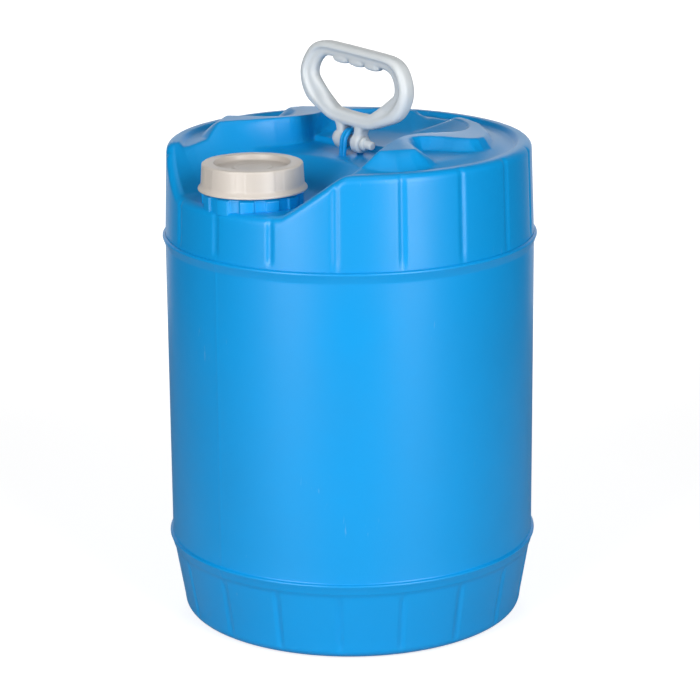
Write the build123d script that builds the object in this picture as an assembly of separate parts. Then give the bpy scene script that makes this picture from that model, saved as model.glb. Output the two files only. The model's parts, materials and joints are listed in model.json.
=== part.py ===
"""Closed-head plastic pail with a swing handle and a screw cap. Millimetres, +Z up.

The origin is the centre of the base on the floor. The spout is towards -Y and the handle's pin lies
along X, so the plane x = 0 is the mould's parting plane.
"""
from build123d import *
import math
import os

# Overall sizes and wall
BAND_R = 145.0
RIM_Z = 376.0
WALL = 2.4

# Side wall
BAND_PROUD = 2.2
LOWER_BAND_TOP_Z = 64.8
UPPER_BAND_DROP = 71.1
BAND_TALL = 7.8
BAND_FACE = 1.9
BAND_EDGE = 0.5
LOWER_WALL_STEP = 0.2
BASE_CORNER_STEP = 7.5
BASE_CORNER_Z = 9.0
BASE_REST_STEP = 8.3
BASE_REST_WIDE = 9.0
BASE_PUSH_UP = 5.0
BASE_PUSH_UP_SLOPE = 8.0
UPPER_WALL_STEP = 2.3
FLUTES = 18
FLUTE_R = 5.0
FLUTE_DEPTH = 1.0
FLUTE_MARGIN = 4.0

# Head
RIM_ROUND = 6.0
RIM_WIDE = 10.5
RIM_SLOPE = 3.5
DECK_DROP = 4.4
PAD_RISE = 11.6
WELL_DEPTH = 32.7
SHELF_DROP = 11.0
SHELF_BACK_Y = 13.5
SHELF_HALF_X = 57.0
SHELF_TOP_HALF_X = 65.0
UPPER_FLOOR_DROP = 6.6
SCOOP_R = 60.0
SCOOP_TOP_R = 84.0
CUT_OVER = 6.0

# Spout and cap
SPOUT_INSET = 42.0
NECK_R = 32.6
NECK_WALL = 4.1
NECK_TOP_DROP = 9.6
RATCHET_PROUD = 3.6
RATCHET_STEP = 1.6
RATCHET_TOOTH = 7.0
RATCHET_TEETH = 12
RATCHET_TALL = 9.1
THREAD_PITCH = 6.0
THREAD_TURNS = 1.5
CAP_THREAD_TURNS = 1.0
THREAD_DEPTH = 2.4
THREAD_WIDTH = 2.6
THREAD_SINK = 0.4
THREAD_GAP = 0.5
THREAD_LIFT = 3.0
CAP_WALL = 3.2
CAP_FLANGE_PROUD = 2.3
CAP_FLANGE_TALL = 2.6
CAP_OVER_RATCHET = 1.3
CAP_RIM_WIDE = 11.0
CAP_RECESS_DEEP = 3.4
CAP_CEILING = 2.6
CAP_ROUND = 2.6
CAP_BOSS_R = 13.8
CAP_BOSS_TALL = 1.2
CAP_LUGS = 8
CAP_LUG_TALL = 11.0
CAP_LUG_WIDE = 5.0
CAP_LUG_PROUD = 0.9
GASKET_THICK = 1.6
GASKET_OVERLAP = 1.0
GASKET_FIT = 0.1
WELL_CLEAR = 13.0

# Ear, pin and handle
PIN_Y = 2.7
PIN_R = 4.0
PIN_FIT = 0.05
PIN_TIP_R = 3.3
PIN_TIP_LONG = 6.7
PIN_COLLAR_R = 5.4
PIN_COLLAR_LONG = 3.0
PIN_HEAD_R = 5.6
PIN_HEAD_LONG = 2.4
PIN_END_GAP = 0.3
EAR_PLAY = 3.0
EAR_THICK = 4.2
EAR_DROP = 0.8
EAR_HALF_X = 3.0
LEG_PLAY = 2.0
LEG_THICK = 8.0
LEG_HALF_Y = 6.0
BOSS_WALL = 4.0
BOSS_CLEAR = 1.6
HANDLE_DEEP = 14.0
HANDLE_ROUND = 4.5
HANDLE_OUTER_ROUND = 9.0
HANDLE_INNER_ROUND = 3.5
HANDLE_BAR_BOTTOM = 11.5
HANDLE_TALL = 60.5
HANDLE_HALF_X = 56.6
HANDLE_BAR = 11.2
GRIP_BUMPS = 3
GRIP_BUMP_PITCH = 17.0
GRIP_BUMP_R = 10.5
GRIP_BUMP_SINK = 6.6
HANDLE_TIP = 4.5
HANDLE_LEAN = 3.0

# Places that follow from the sizes above
WALL_R = BAND_R - BAND_PROUD
LOWER_WALL_TOP_R = WALL_R - LOWER_WALL_STEP
UPPER_WALL_TOP_R = WALL_R - UPPER_WALL_STEP
BASE_CORNER_R = WALL_R - BASE_CORNER_STEP
BASE_R = BASE_CORNER_R - BASE_REST_STEP
BASE_STEP_R = BASE_R - BASE_REST_WIDE
BASE_PUSH_UP_R = BASE_STEP_R - BASE_PUSH_UP_SLOPE
BAND_TOPS = (LOWER_BAND_TOP_Z, RIM_Z - UPPER_BAND_DROP)
RIM_INNER_R = UPPER_WALL_TOP_R - RIM_WIDE
DECK_R = RIM_INNER_R - RIM_SLOPE
DECK_Z = RIM_Z - DECK_DROP
PAD_TOP_Z = RIM_Z + PAD_RISE
CUT_TOP_Z = PAD_TOP_Z + CUT_OVER
WELL_FLOOR_Z = RIM_Z - WELL_DEPTH
SHELF_Z = RIM_Z - SHELF_DROP
UPPER_FLOOR_Z = RIM_Z - UPPER_FLOOR_DROP
SPOUT_Y = SPOUT_INSET - BAND_R
BORE_R = NECK_R - NECK_WALL
NECK_TOP_Z = RIM_Z - NECK_TOP_DROP
RATCHET_R = NECK_R + RATCHET_PROUD
RATCHET_TOP_Z = WELL_FLOOR_Z + RATCHET_TALL
THREAD_START_Z = RATCHET_TOP_Z + THREAD_LIFT
CAP_INNER_R = NECK_R + THREAD_DEPTH + THREAD_GAP
CAP_R = CAP_INNER_R + CAP_WALL
CAP_FLANGE_R = CAP_R + CAP_FLANGE_PROUD
CAP_BOTTOM_Z = RATCHET_TOP_Z + CAP_OVER_RATCHET
CAP_CEILING_Z = NECK_TOP_Z + GASKET_THICK
CAP_TOP_Z = CAP_CEILING_Z + CAP_CEILING + CAP_RECESS_DEEP
CAP_RECESS_R = CAP_R - CAP_RIM_WIDE
GASKET_INNER_R = BORE_R - GASKET_OVERLAP
WELL_HALF_X = CAP_FLANGE_R + WELL_CLEAR
BOSS_R = PIN_R + BOSS_WALL
PIN_Z = SHELF_Z + BOSS_R + BOSS_CLEAR
EAR_INNER_R = PIN_R + EAR_PLAY
EAR_OUTER_R = EAR_INNER_R + EAR_THICK
LEG_INNER_X = EAR_HALF_X + LEG_PLAY
HANDLE_TOP = HANDLE_BAR_BOTTOM + HANDLE_TALL


def profile(inset):
    """Half section of the pail in the XZ plane, moved inwards by inset on every face."""
    lower, upper = BAND_TOPS
    low_bottom = lower - BAND_TALL
    up_bottom = upper - BAND_TALL
    points = [
        (0, BASE_PUSH_UP + inset),
        (BASE_PUSH_UP_R, BASE_PUSH_UP + inset),
        (BASE_STEP_R, inset),
        (BASE_R - inset * 0.6, inset),
    ]
    corner_mid = (BASE_CORNER_R - 2.4 - inset * 0.8, 2.6 + inset * 0.6)
    corner_end = (BASE_CORNER_R - inset, BASE_CORNER_Z)
    wall = [
        corner_end,
        (LOWER_WALL_TOP_R - inset, low_bottom),
        (BAND_R - inset, lower - BAND_FACE),
        (BAND_R - inset, lower - BAND_EDGE),
        (BAND_R - BAND_EDGE - inset, lower),
        (WALL_R - inset, lower + BAND_EDGE),
        (WALL_R - inset, up_bottom),
        (BAND_R - inset, upper - BAND_FACE),
        (BAND_R - inset, upper - BAND_EDGE),
        (BAND_R - BAND_EDGE - inset, upper),
        (WALL_R - inset, upper + BAND_EDGE),
        (UPPER_WALL_TOP_R - inset, RIM_Z - RIM_ROUND),
    ]
    rim_mid_angle = math.radians(45)
    rim_radius = RIM_ROUND - inset
    rim_centre = (UPPER_WALL_TOP_R - RIM_ROUND, RIM_Z - RIM_ROUND)
    rim_mid = (
        rim_centre[0] + rim_radius * math.cos(rim_mid_angle),
        rim_centre[1] + rim_radius * math.sin(rim_mid_angle),
    )
    rim_end = (rim_centre[0], RIM_Z - inset)
    head = [
        rim_end,
        (RIM_INNER_R + inset, RIM_Z - inset),
        (DECK_R + inset, DECK_Z - inset),
        (0, DECK_Z - inset),
        (0, BASE_PUSH_UP + inset),
    ]
    with BuildSketch(Plane.XZ) as section:
        with BuildLine():
            Polyline(*points)
            ThreePointArc(points[-1], corner_mid, corner_end)
            Polyline(*wall)
            ThreePointArc(wall[-1], rim_mid, rim_end)
            Polyline(*head)
        make_face()
    return section.sketch


def mirrored(points):
    """Closed outline from the points of its +X half, listed from front to back."""
    other_half = [(-x, y) for x, y in reversed(points)]
    return list(points) + other_half


def prism(points, z_low, z_high, grow=0.0):
    """Upright prism over an outline, grown sideways by grow."""
    face = make_face(Polyline(*points, close=True))
    if grow:
        face = offset(face, amount=grow, kind=Kind.INTERSECTION)
    return extrude(Pos(0, 0, z_low) * face, amount=z_high - z_low)


def frustum(low_points, low_z, high_points, high_z, grow=0.0):
    """Straight-sided loft between two outlines with the same number of corners."""
    low = make_face(Polyline(*low_points, close=True))
    high = make_face(Polyline(*high_points, close=True))
    if grow:
        low = offset(low, amount=grow, kind=Kind.INTERSECTION)
        high = offset(high, amount=grow, kind=Kind.INTERSECTION)
    return loft([Pos(0, 0, low_z) * low, Pos(0, 0, high_z) * high], ruled=True)


def well(grow):
    """The space cut out of the head and wall round the spout."""
    half = WELL_HALF_X
    front_y = -BAND_R - 15
    floor = mirrored(
        [
            (half + 7, front_y),
            (half, SPOUT_Y - 13),
            (half - 2, SPOUT_Y + 11),
            (half - 12, SPOUT_Y + 33),
            (half - 32, SPOUT_Y + half - 5),
        ]
    )
    top = mirrored(
        [
            (half + 58, front_y),
            (half + 39, SPOUT_Y - 3),
            (half + 27, SPOUT_Y + 47),
            (half + 12, SPOUT_Y + 67),
            (half - 20, SPOUT_Y + half + 33),
        ]
    )
    return frustum(floor, WELL_FLOOR_Z - grow, top, RIM_Z + 1.0, grow)


def between_pads(grow):
    """The space between the two pads, down to the shelf under the handle's ear."""
    front_y = SPOUT_Y + CAP_FLANGE_R + 2
    low = mirrored([(SHELF_HALF_X, front_y), (SHELF_HALF_X, SHELF_BACK_Y)])
    high = mirrored([(SHELF_TOP_HALF_X + 17, front_y - 4), (SHELF_TOP_HALF_X, SHELF_BACK_Y)])
    return frustum(low, SHELF_Z - grow, high, CUT_TOP_Z, grow)


def scoop(grow):
    """The bowl behind the ear that the folded handle lies in: a wide cone cut at the back."""
    rise = PAD_TOP_Z - UPPER_FLOOR_Z
    low_r = SCOOP_R + grow
    high_r = SCOOP_TOP_R + grow
    cone = Solid.make_cone(low_r, high_r, rise + grow, Plane((0, 4, UPPER_FLOOR_Z - grow)))
    back_half = Pos(0, 100, PAD_TOP_Z) * Box(400, 200, 80)
    return cone & back_half


def pad(grow):
    """One stacking pad: a front lobe, a narrow waist and an arm that curls round the finger notch."""
    outline = [
        (79, -58),
        (90, -59),
        (99, -48),
        (106, -38),
        (95, -32),
        (80, -18),
        (72, -4),
        (74, 7),
        (86, 15),
        (108, 18),
        (116, 30),
        (106, 42),
        (89, 58),
        (75, 68),
        (59, 76),
        (46, 79),
        (44, 66),
        (40, 40),
        (40, -40),
    ]
    block = prism(outline, DECK_Z - 2 * WALL, PAD_TOP_Z - grow, -grow)
    return block


def flute_cutters():
    """Shallow upright grooves round the wall above the top band and below the bottom band."""
    lower, upper = BAND_TOPS
    spans = (
        (BASE_CORNER_R, BASE_CORNER_Z, LOWER_WALL_TOP_R, lower - BAND_TALL - FLUTE_MARGIN),
        (WALL_R, upper + FLUTE_MARGIN, UPPER_WALL_TOP_R, RIM_Z - RIM_ROUND),
    )
    cutters = []
    for r_low, z_low, r_high, z_high in spans:
        length = math.hypot(r_high - r_low, z_high - z_low)
        centre_r = r_low + FLUTE_R - FLUTE_DEPTH
        rod_plane = Plane(origin=(centre_r, 0, z_low), z_dir=(r_high - r_low, 0, z_high - z_low))
        rod = Solid.make_cylinder(FLUTE_R, length, rod_plane)
        for index in range(FLUTES):
            angle = -90 + index * 360 / FLUTES
            cutters.append(Rot(0, 0, angle) * rod)
    return cutters


def helix_ridge(radius, depth, start_z, turns):
    """Screw thread ridge of trapezium section, sunk a little into the wall that carries it.

    A positive depth points outwards and a negative depth inwards.
    """
    sunk = -THREAD_SINK if depth > 0 else THREAD_SINK
    path = Helix(pitch=THREAD_PITCH, height=THREAD_PITCH * turns, radius=radius)
    half_root = THREAD_WIDTH / 2
    half_tip = THREAD_WIDTH / 4
    with BuildSketch(Plane.XZ) as section:
        with BuildLine():
            Polyline(
                (radius + sunk, -half_root),
                (radius + depth, -half_tip),
                (radius + depth, half_tip),
                (radius + sunk, half_root),
                close=True,
            )
        make_face()
    ridge = sweep(section.sketch, path=path, is_frenet=True)
    return Pos(0, SPOUT_Y, start_z) * ridge


def disc(radius, z_low, z_high, y=SPOUT_Y):
    """Upright cylinder on the spout's axis."""
    return Pos(0, y, (z_low + z_high) / 2) * Cylinder(radius, z_high - z_low)


def neck():
    """Threaded spout with the ratchet ring at its foot, still solid inside."""
    tube = disc(NECK_R, WELL_FLOOR_Z - WALL, NECK_TOP_Z)
    ring = disc(RATCHET_R, WELL_FLOOR_Z, RATCHET_TOP_Z)
    teeth = []
    for index in range(RATCHET_TEETH):
        angle = index * 360 / RATCHET_TEETH
        block = Box(2 * RATCHET_STEP, RATCHET_TOOTH, RATCHET_TALL - 2)
        middle_z = (WELL_FLOOR_Z + RATCHET_TOP_Z) / 2
        teeth.append(Pos(0, SPOUT_Y, middle_z) * Rot(0, 0, angle) * Pos(RATCHET_R, 0, 0) * block)
    ridge = helix_ridge(NECK_R, THREAD_DEPTH, THREAD_START_Z, THREAD_TURNS)
    return tube.fuse(ring, *teeth).fuse(ridge)


def ear():
    """Arched strap that the handle's pin passes under."""
    half_wide = 2 * EAR_HALF_X
    arch_z = PIN_Z - EAR_DROP
    arch = Pos(0, PIN_Y, arch_z) * Rot(0, 90, 0) * Cylinder(EAR_OUTER_R, half_wide)
    foot_tall = arch_z - SHELF_Z + WALL
    foot_z = arch_z - foot_tall / 2
    feet = Pos(0, PIN_Y, foot_z) * Box(half_wide, 2 * EAR_OUTER_R, foot_tall)
    eye = Pos(0, PIN_Y, arch_z) * Rot(0, 90, 0) * Cylinder(EAR_INNER_R, half_wide + 2)
    eye_tall = arch_z - SHELF_Z
    eye_foot = Pos(0, PIN_Y, arch_z - eye_tall / 2) * Box(half_wide + 2, 2 * EAR_INNER_R, eye_tall)
    return (arch + feet) - eye - eye_foot


def head_shape(inset):
    """Solid of revolution with pads, well, shelf and scoop, moved inwards by inset."""
    shape = revolve(profile(inset), Axis.Z)
    right = pad(inset)
    left = mirror(right, Plane.YZ)
    shape = shape.fuse(right, left)
    return shape.cut(well(inset), between_pads(inset), scoop(inset))


def pail_body():
    """Hollow blow-moulded shell with its ear and spout."""
    outside = head_shape(0)
    outside = outside.cut(*flute_cutters())
    shell = outside.cut(head_shape(WALL))
    shell = shell.fuse(ear()).fuse(neck())
    return shell.cut(disc(BORE_R, WELL_FLOOR_Z - 4 * WALL, NECK_TOP_Z + 1))


def screw_cap():
    """Screw cap with a foot flange, grip lugs, a recessed crown and an inner thread."""
    body = disc(CAP_R, CAP_BOTTOM_Z, CAP_TOP_Z)
    body = fillet(body.edges().group_by(Axis.Z)[-1], CAP_ROUND)
    flange = disc(CAP_FLANGE_R, CAP_BOTTOM_Z, CAP_BOTTOM_Z + CAP_FLANGE_TALL)
    flange = fillet(flange.edges().group_by(Axis.Z)[-1], CAP_FLANGE_TALL / 3)
    lugs = []
    for index in range(CAP_LUGS):
        angle = 360 * (index + 0.5) / CAP_LUGS
        lug = Box(2 * CAP_LUG_PROUD, CAP_LUG_WIDE, CAP_LUG_TALL)
        lug_z = CAP_BOTTOM_Z + CAP_FLANGE_TALL + CAP_LUG_TALL / 2
        lugs.append(Pos(0, SPOUT_Y, lug_z) * Rot(0, 0, angle) * Pos(CAP_R, 0, 0) * lug)
    crown_floor = CAP_TOP_Z - CAP_RECESS_DEEP
    cap = body.fuse(flange, *lugs)
    cap = cap.cut(disc(CAP_RECESS_R, crown_floor, CAP_TOP_Z + 1))
    cap = cap.fuse(disc(CAP_BOSS_R, CAP_CEILING_Z, crown_floor + CAP_BOSS_TALL))
    cap = cap.cut(disc(CAP_INNER_R, CAP_BOTTOM_Z - 1, CAP_CEILING_Z))
    ridge = helix_ridge(CAP_INNER_R, THREAD_GAP - THREAD_DEPTH, THREAD_START_Z + THREAD_PITCH / 2, CAP_THREAD_TURNS)
    return cap.fuse(ridge)


def cap_gasket():
    """Flat seal ring between the spout's lip and the cap."""
    ring = disc(CAP_INNER_R - GASKET_FIT, NECK_TOP_Z, CAP_CEILING_Z)
    return ring.cut(disc(GASKET_INNER_R, NECK_TOP_Z - 1, CAP_CEILING_Z + 1))


def pin_frame():
    """Placement of the handle and its pin: tipped a little sideways and leaning a little back."""
    return Pos(0, PIN_Y, PIN_Z) * Rot(0, HANDLE_TIP, 0) * Rot(-HANDLE_LEAN, 0, 0)


def handle():
    """Closed ring handle with finger bumps and two legs, built upright about its pin."""
    half = HANDLE_HALF_X
    grip_low = HANDLE_TOP - HANDLE_BAR
    outer = mirrored(
        [
            (half - 36.6, HANDLE_BAR_BOTTOM),
            (half - 9.6, HANDLE_BAR_BOTTOM + 12.5),
            (half, HANDLE_TOP - 27),
            (half - 5.6, HANDLE_TOP - 11),
            (half - 20.6, HANDLE_TOP),
        ]
    )
    inner = mirrored(
        [
            (half - 38.6, HANDLE_BAR_BOTTOM + 12),
            (half - 25.6, HANDLE_BAR_BOTTOM + 18.5),
            (half - 15.1, HANDLE_TOP - 28),
            (half - 16.6, HANDLE_TOP - 20),
            (half - 25.6, grip_low),
        ]
    )
    ring_face = make_face(Polyline(*outer, close=True))
    ring_face = fillet(ring_face.vertices(), HANDLE_OUTER_ROUND)
    hole_face = make_face(Polyline(*inner, close=True))
    hole_face = fillet(hole_face.vertices(), HANDLE_INNER_ROUND)
    upright = Plane.XZ.offset(-HANDLE_DEEP / 2)
    ring = extrude(upright * ring_face, amount=HANDLE_DEEP)
    ring = fillet(ring.edges().group_by(Axis.Y)[0] + ring.edges().group_by(Axis.Y)[-1], HANDLE_ROUND)
    hole = extrude(Plane.XZ.offset(-HANDLE_DEEP) * hole_face, amount=2 * HANDLE_DEEP)
    bumps = []
    for index in range(GRIP_BUMPS):
        bump_x = (index - (GRIP_BUMPS - 1) / 2) * GRIP_BUMP_PITCH
        bump = Rot(90, 0, 0) * Cylinder(GRIP_BUMP_R, HANDLE_DEEP * 0.6)
        bumps.append(Pos(bump_x, 0, grip_low + GRIP_BUMP_SINK) * bump)
    keep_below = Pos(0, 0, grip_low - 2) * Box(2 * HANDLE_HALF_X, HANDLE_DEEP, 10)
    shape = ring.cut(hole)
    for bump in bumps:
        shape = shape.fuse(bump & keep_below)
    leg_middle = LEG_INNER_X + LEG_THICK / 2
    for side in (-1, 1):
        boss = Pos(side * leg_middle, 0, 0) * Rot(0, 90, 0) * Cylinder(BOSS_R, LEG_THICK)
        leg_tall = HANDLE_BAR_BOTTOM + 5
        leg = Pos(side * leg_middle, 0, leg_tall / 2) * Box(LEG_THICK, 2 * LEG_HALF_Y, leg_tall)
        shape = shape.fuse(boss, leg)
    bore = Rot(0, 90, 0) * Cylinder(PIN_R + PIN_FIT, 60)
    ear_gap = Box(2 * LEG_INNER_X, 40, 2 * (HANDLE_BAR_BOTTOM + 1.5))
    return pin_frame() * (shape - bore - ear_gap)


def handle_pin():
    """Snap pin with a head on one side and a collar and tip on the other."""
    boss_end = LEG_INNER_X + LEG_THICK
    along_x = Rot(0, 90, 0)

    def rod(radius, x_low, x_high):
        return Pos((x_low + x_high) / 2, 0, 0) * along_x * Cylinder(radius, x_high - x_low)

    shank = rod(PIN_R, -boss_end - PIN_END_GAP, boss_end + PIN_END_GAP)
    head = rod(PIN_HEAD_R, -boss_end - PIN_END_GAP - PIN_HEAD_LONG, -boss_end - PIN_END_GAP)
    collar_end = boss_end + PIN_END_GAP + PIN_COLLAR_LONG
    collar = rod(PIN_COLLAR_R, boss_end + PIN_END_GAP, collar_end)
    tip = rod(PIN_TIP_R, collar_end, collar_end + PIN_TIP_LONG)
    tip = fillet(tip.edges().group_by(Axis.X)[-1], PIN_TIP_R * 0.6)
    return pin_frame() * shank.fuse(head, collar, tip)


def write(name, shape):
    """Write one node's solid to its own file."""
    export_step(shape, os.path.join("parts", name + ".step"))


os.makedirs("parts", exist_ok=True)
write("pail_body", pail_body())
write("screw_cap", screw_cap())
write("cap_gasket", cap_gasket())
write("handle", handle())
write("handle_pin", handle_pin())
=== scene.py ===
"""Closed-head pail with a swing handle and a screw cap: its looks, as a Blender add-on run as a script.

Lengths inside the shape functions are millimetres in the pail's own frame: +Z up, the spout towards -Y,
the handle's pin along X. A mesh is scaled to metres as it is made.
"""

import json
import math

import bpy
import numpy as np
from mathutils import Matrix, Vector


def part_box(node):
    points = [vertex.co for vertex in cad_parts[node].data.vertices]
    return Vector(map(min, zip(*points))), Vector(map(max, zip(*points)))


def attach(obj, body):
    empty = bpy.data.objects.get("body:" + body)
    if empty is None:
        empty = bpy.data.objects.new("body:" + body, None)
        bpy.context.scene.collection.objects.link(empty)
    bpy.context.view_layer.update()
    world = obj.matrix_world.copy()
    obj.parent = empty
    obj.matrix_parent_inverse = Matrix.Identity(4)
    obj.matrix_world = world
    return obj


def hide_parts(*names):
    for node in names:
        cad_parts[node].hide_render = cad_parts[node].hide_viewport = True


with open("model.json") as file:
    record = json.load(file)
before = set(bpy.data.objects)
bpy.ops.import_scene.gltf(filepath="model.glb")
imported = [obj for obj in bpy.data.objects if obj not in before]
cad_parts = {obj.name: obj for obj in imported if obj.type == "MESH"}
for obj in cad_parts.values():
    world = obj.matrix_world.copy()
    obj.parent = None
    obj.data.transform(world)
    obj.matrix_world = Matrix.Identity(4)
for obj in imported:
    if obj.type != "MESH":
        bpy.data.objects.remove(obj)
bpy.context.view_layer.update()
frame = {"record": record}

bl_info = {
    "name": "Closed-head pail",
    "version": (1, 0, 0),
    "blender": (4, 5, 0),
    "location": "3D View > Sidebar > Pail",
    "description": "Builds a moulded pail, its swing handle, its screw cap and a small studio",
    "category": "Add Mesh",
}

MM = 0.001
TAU = 2 * math.pi


def node_box(node):
    """Lowest and highest corners of a CAD node, in millimetres."""
    low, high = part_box(node)
    return np.array(low) / MM, np.array(high) / MM


def joint_named(name):
    """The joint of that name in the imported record."""
    return next(j for j in frame["record"]["behaviour"]["joints"] if j["name"] == name)


# Places taken from the frame
PAIL_LOW, PAIL_HIGH = node_box("pail_body")
CAP_LOW, CAP_HIGH = node_box("screw_cap")
GASKET_LOW, GASKET_HIGH = node_box("cap_gasket")
SWING = joint_named("handle_swing")
PIN = np.array(SWING["pos_m"]) / MM
PIN_AXIS = np.array(SWING["axis"])
SPOUT = np.array(joint_named("cap_turn")["pos_m"]) / MM

# Radii and heights of the shell; the bands stay just inside the CAD's box
BAND_R = min(PAIL_HIGH[0], -PAIL_LOW[0], PAIL_HIGH[1], -PAIL_LOW[1]) - 0.03
WALL_R = BAND_R - 2.2
TOP_WALL_TAPER = 2.3
TOP_WALL_R = WALL_R - TOP_WALL_TAPER
SHOULDER_ROUND = 6.0
SHOULDER_R = TOP_WALL_R - 6.5
PAD_TOP = PAIL_HIGH[2] - 0.8
RIM = PAIL_HIGH[2] - 11.6
DECK = RIM + 0.3
GUTTER = RIM - 3.3
WELL_FLOOR = RIM - 32.7
SHELF = RIM - 11.8
SCOOP_FLOOR = RIM - 7.2
BAND_TOPS = (64.8, RIM - 71.1)
BAND_TAIL = 9.2
FLUTES = 18
FLUTE_HALF_WIDTH = 3.2
FLUTE_DEEP = 1.15
SEAM_HALF_WIDTH = 1.3
SEAM_TALL = 0.3
FOOT_R = 134.6
FOOT_Z = 13
COLUMNS = 640

# The neck, the cap and the thread
BORE_R = 28.5
NECK_R = 32.6
NECK_TOP = GASKET_LOW[2]
RATCHET_R = 36.4
RATCHET_TEETH = 12
RATCHET_PROUD = 1.7
THREAD_PITCH = 6.0
THREAD_TURNS = 2
THREAD_PROUD = 2.2
CAP_R = CAP_HIGH[0] - 2.3
CAP_FACETS = 8
CAP_FACET_DEEP = 0.28

# The handle, its ear and its pin
EAR_HALF_WIDTH = 3.0
EAR_HALF_THICK = 1.8
EAR_ARCH_R = 9.0
EAR_DROP = 0.8
HANDLE_HALF_DEPTH = 7.0
HANDLE_LEAN = -3.0
GRIP_BUMPS = 3
GRIP_BUMP_PITCH = 16.5
PIN_R = 4.0
VOXEL = 0.62 * MM

# The camera: turn from -Y towards +X, tip and roll in degrees, lens in millimetres, place in metres
CAMERA_AZIMUTH = 44.3
CAMERA_PITCH = 15.636
CAMERA_ROLL = -0.485
CAMERA_LENS = 137.67
CAMERA_PLACE = (1.4135, -1.4493, 0.7742)
LIGHT_AIM = (0, 0, 0.3)

# Sockets of a colour Mix node, which shares its names between data types
MIX_FACTOR, MIX_A, MIX_B, MIX_RESULT = 0, 6, 7, 2


# ---------------------------------------------------------------- shape helpers

def smooth_min(a, b, width):
    """Lower of two surfaces with a rounded meeting line: the mean less half of hypot(difference, width)."""
    return 0.5 * (a + b - np.hypot(a - b, width))


def smooth_max(a, b, width):
    """Higher of two surfaces with a rounded meeting line."""
    return 0.5 * (a + b + np.hypot(a - b, width))


def ramp(t, soft):
    """Straight ramp from 0 to 1 with both ends rounded by soft."""
    return smooth_min(smooth_max(t, 0.0, soft), 1.0, soft)


def smoothstep(t):
    """Cubic ease between 0 and 1."""
    t = np.clip(t, 0.0, 1.0)
    return t * t * (3 - 2 * t)


def superellipse(phi, power):
    """Cosine and sine of phi, each raised to a power with its sign kept: a circle drawn towards a square."""
    u = np.sign(np.cos(phi)) * np.abs(np.cos(phi)) ** power
    v = np.sign(np.sin(phi)) * np.abs(np.sin(phi)) ** power
    return u, v


def outline_distance(x, y, points):
    """Signed distance to a closed polygon, negative inside: nearest edge, signed by crossing count."""
    nearest = np.full(np.shape(x), 1e9)
    inside = np.zeros(np.shape(x), bool)
    for (ax, ay), (bx, by) in zip(points, points[1:] + points[:1]):
        ex, ey = bx - ax, by - ay
        along = np.clip(((x - ax) * ex + (y - ay) * ey) / (ex * ex + ey * ey), 0, 1)
        nearest = np.minimum(nearest, np.hypot(x - ax - along * ex, y - ay - along * ey))
        crosses = (ay > y) != (by > y)
        reach = ax + (y - ay) * ex / np.where(ey == 0, 1e-9, ey)
        inside ^= crosses & (x < reach)
    return np.where(inside, -nearest, nearest)


def mirrored(points):
    """Closed outline from its +X half, listed from front to back."""
    return list(points) + [(-x, y) for x, y in reversed(points)]


def catmull(points, per_span, closed=True):
    """Smooth line through points: Catmull-Rom cubic, per_span samples in each span."""
    p = np.asarray(points, float)
    count = len(p)
    spans = count if closed else count - 1
    index = np.arange(spans)[:, None] + np.arange(-1, 3)[None, :]
    index = index % count if closed else np.clip(index, 0, count - 1)
    t = np.linspace(0, 1, per_span, endpoint=False)[None, :, None]
    a, b, c, d = (p[index[:, k]][:, None, :] for k in range(4))
    line = 0.5 * (2 * b + (c - a) * t + (2 * a - 5 * b + 4 * c - d) * t**2 + (3 * b - a - 3 * c + d) * t**3)
    line = line.reshape(-1, p.shape[1])
    return line if closed else np.vstack([line, p[-1]])


def build_mesh(name, points, quads, poles=()):
    """Mesh object from vertices in millimetres, quads, and (rim indices, centre index) fans."""
    loops = [np.asarray(quads, np.int64).reshape(-1)]
    sizes = [np.full(len(quads), 4, np.int64)]
    for ring, centre, reverse in poles:
        after = np.roll(ring, -1)
        fan = np.stack([ring, after, np.full(len(ring), centre)], -1)
        if reverse:
            fan = fan[:, ::-1]
        loops.append(fan.reshape(-1))
        sizes.append(np.full(len(ring), 3, np.int64))
    loops = np.concatenate(loops)
    sizes = np.concatenate(sizes)
    mesh = bpy.data.meshes.new(name)
    mesh.vertices.add(len(points))
    mesh.vertices.foreach_set("co", (np.asarray(points, np.float64) * MM).astype(np.float32).reshape(-1))
    mesh.loops.add(len(loops))
    mesh.loops.foreach_set("vertex_index", loops.astype(np.int32))
    mesh.polygons.add(len(sizes))
    starts = np.concatenate([[0], np.cumsum(sizes)[:-1]])
    mesh.polygons.foreach_set("loop_start", starts.astype(np.int32))
    mesh.polygons.foreach_set("use_smooth", np.ones(len(sizes), bool))
    mesh.update(calc_edges=True)
    mesh.validate()
    piece = bpy.data.objects.new(name, mesh)
    bpy.context.scene.collection.objects.link(piece)
    return piece


def grid_piece(name, surface, close_rows=False, pole_first=False, pole_last=False):
    """Mesh of a surface given as points[row, column]; columns close round, and poles end in a fan.

    The winding is chosen by the sign of the enclosed volume, so faces point outwards.
    """
    rows, cols, _ = surface.shape
    points = surface.reshape(-1, 3)
    j = np.arange(cols)
    i = np.arange(rows if close_rows else rows - 1)[:, None]
    after_i = (i + 1) % rows
    after_j = (j + 1) % cols
    quads = np.stack(
        [i * cols + j, i * cols + after_j, after_i * cols + after_j, after_i * cols + j], -1
    ).reshape(-1, 4)
    poles = []
    if pole_first:
        points = np.vstack([points, surface[0].mean(0)])
        poles.append((j, len(points) - 1, True))
    if pole_last:
        points = np.vstack([points, surface[-1].mean(0)])
        poles.append(((rows - 1) * cols + j, len(points) - 1, False))
    a, b, c, d = (points[quads[:, k]] for k in range(4))
    middle = points.mean(0)
    volume = np.einsum("ij,ij->", np.cross(c - a, d - b), (a + b + c + d) / 4 - middle)
    if volume < 0:
        quads = quads[:, ::-1]
        poles = [(ring, centre, not reverse) for ring, centre, reverse in poles]
    return build_mesh(name, points, quads, poles)


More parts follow.
